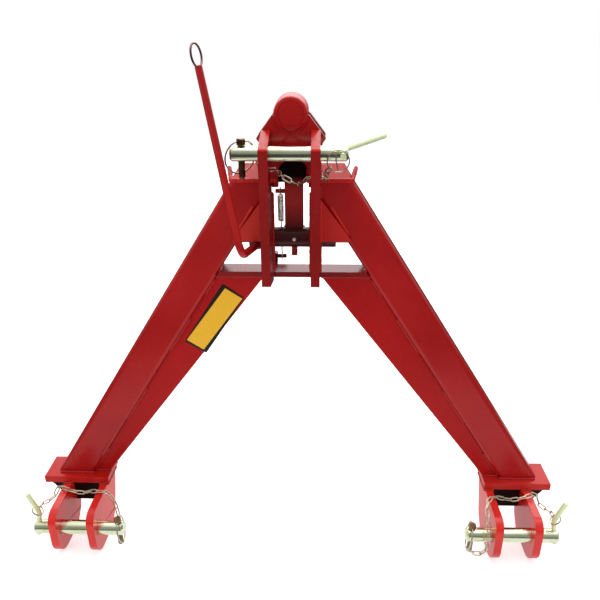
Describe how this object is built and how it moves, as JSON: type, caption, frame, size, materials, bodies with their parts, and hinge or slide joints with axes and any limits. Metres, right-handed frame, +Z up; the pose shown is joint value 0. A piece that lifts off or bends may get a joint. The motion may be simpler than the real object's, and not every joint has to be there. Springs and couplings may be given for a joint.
{
  "type": "quick hitch triangle",
  "caption": "Tractor-side A-frame quick hitch: welded triangle with a top link pin, lower clevis pins on linch pins and chains, and a sprung latch worked by a pull lever.",
  "frame": {"origin": "centre of the top link pin, midway between the mast plates", "axes": "+X to the right as seen from the tractor, along the top link pin; +Y away from the tractor, towards the implement; +Z up"},
  "size_m": [0.827, 0.1506, 0.7489],
  "materials": {
    "bare_steel": "dull plated",
    "dark_red_paint": "glossy",
    "dark_steel": "passivated zinc, worn",
    "light_red_paint": "glossy",
    "red_paint": "glossy",
    "spring_steel": "zinc plated",
    "zinc_rod": "passivated zinc, satin",
    "zinc_yellow": "passivated zinc, semi-bright"
  },
  "bodies": {
    "frame": {"left_leg": "red_paint", "left_leg_cap": "red_paint", "left_leg_web": "red_paint", "left_mast_plate": "red_paint", "left_guide_plate": "light_red_paint", "left_foot_plate": "red_paint", "left_foot_stiffener": "red_paint", "left_inner_ear": "red_paint", "left_outer_ear": "red_paint", "right_leg": "red_paint", "right_leg_cap": "red_paint", "right_leg_web": "red_paint", "right_mast_plate": "red_paint", "right_guide_plate": "light_red_paint", "right_foot_plate": "red_paint", "right_foot_stiffener": "red_paint", "right_inner_ear": "red_paint", "right_outer_ear": "red_paint", "crossbar": "red_paint", "front_apex_plate": "red_paint", "rear_apex_plate": "red_paint", "apex_head": "red_paint", "latch_pivot_bar": "dark_red_paint", "spring_anchor": "dark_red_paint", "return_spring": "spring_steel"},
    "latch": {"latch_tube": "dark_red_paint", "latch_arm": "dark_red_paint", "release_lever": "red_paint", "rope_ring": "dark_steel"},
    "top_link_pin": {"top_pin": "zinc_yellow", "top_pin_handle": "zinc_rod", "top_pin_loop": "bare_steel", "top_pin_chain": "bare_steel"},
    "top_linch": {"top_linch_pin": "dark_steel", "top_linch_ring": "spring_steel"},
    "right_lower_pin": {"right_pin": "zinc_yellow", "right_pin_handle": "zinc_rod", "right_pin_loop": "bare_steel", "right_pin_chain": "bare_steel"},
    "right_linch": {"right_linch_pin": "dark_steel"},
    "right_spring_ring": {"right_linch_ring": "spring_steel"},
    "left_lower_pin": {"left_pin": "zinc_yellow", "left_pin_handle": "zinc_rod", "left_pin_loop": "bare_steel", "left_pin_chain": "bare_steel"},
    "left_linch": {"left_linch_pin": "dark_steel"},
    "left_spring_ring": {"left_linch_ring": "spring_steel"}
  },
  "joints": [
    {"name": "latch_turn", "type": "hinge", "parent": "frame", "child": "latch", "pos_m": [0, 0.055, -0.126], "axis": [1, 0, 0], "range_deg": [0, 25], "stiffness_Nm_per_rad": 1.2, "springref_deg": -34.38, "deforming": ["return_spring"]},
    {"name": "top_pin_slide", "type": "slide", "parent": "frame", "child": "top_link_pin", "axis": [1, 0, 0], "range_m": [0, 0.004], "deforming": ["top_pin_chain"]},
    {"name": "top_linch_lift", "type": "slide", "parent": "top_link_pin", "child": "top_linch", "axis": [0, 0, 1], "range_m": [0, 0.009], "deforming": ["top_pin_chain"]},
    {"name": "right_pin_slide", "type": "slide", "parent": "frame", "child": "right_lower_pin", "axis": [1, 0, 0], "range_m": [0, 0.02], "deforming": ["right_pin_chain"]},
    {"name": "right_linch_lift", "type": "slide", "parent": "right_lower_pin", "child": "right_linch", "axis": [0, 0, 1], "range_m": [0, 0.007], "deforming": ["right_pin_chain"]},
    {"name": "right_ring_flip", "type": "hinge", "parent": "right_linch", "child": "right_spring_ring", "pos_m": [0.2755, -0.035, -0.5622], "axis": [0.1392, 0.9903, 0], "range_deg": [0, 120]},
    {"name": "left_pin_slide", "type": "slide", "parent": "frame", "child": "left_lower_pin", "axis": [-1, 0, 0], "range_m": [0, 0.02], "deforming": ["left_pin_chain"]},
    {"name": "left_linch_lift", "type": "slide", "parent": "left_lower_pin", "child": "left_linch", "axis": [0, 0, 1], "range_m": [0, 0.007], "deforming": ["left_pin_chain"]},
    {"name": "left_ring_flip", "type": "hinge", "parent": "left_linch", "child": "left_spring_ring", "pos_m": [-0.2755, -0.035, -0.5622], "axis": [-0.1392, 0.9903, 0], "range_deg": [-120, 0]}
  ]
}
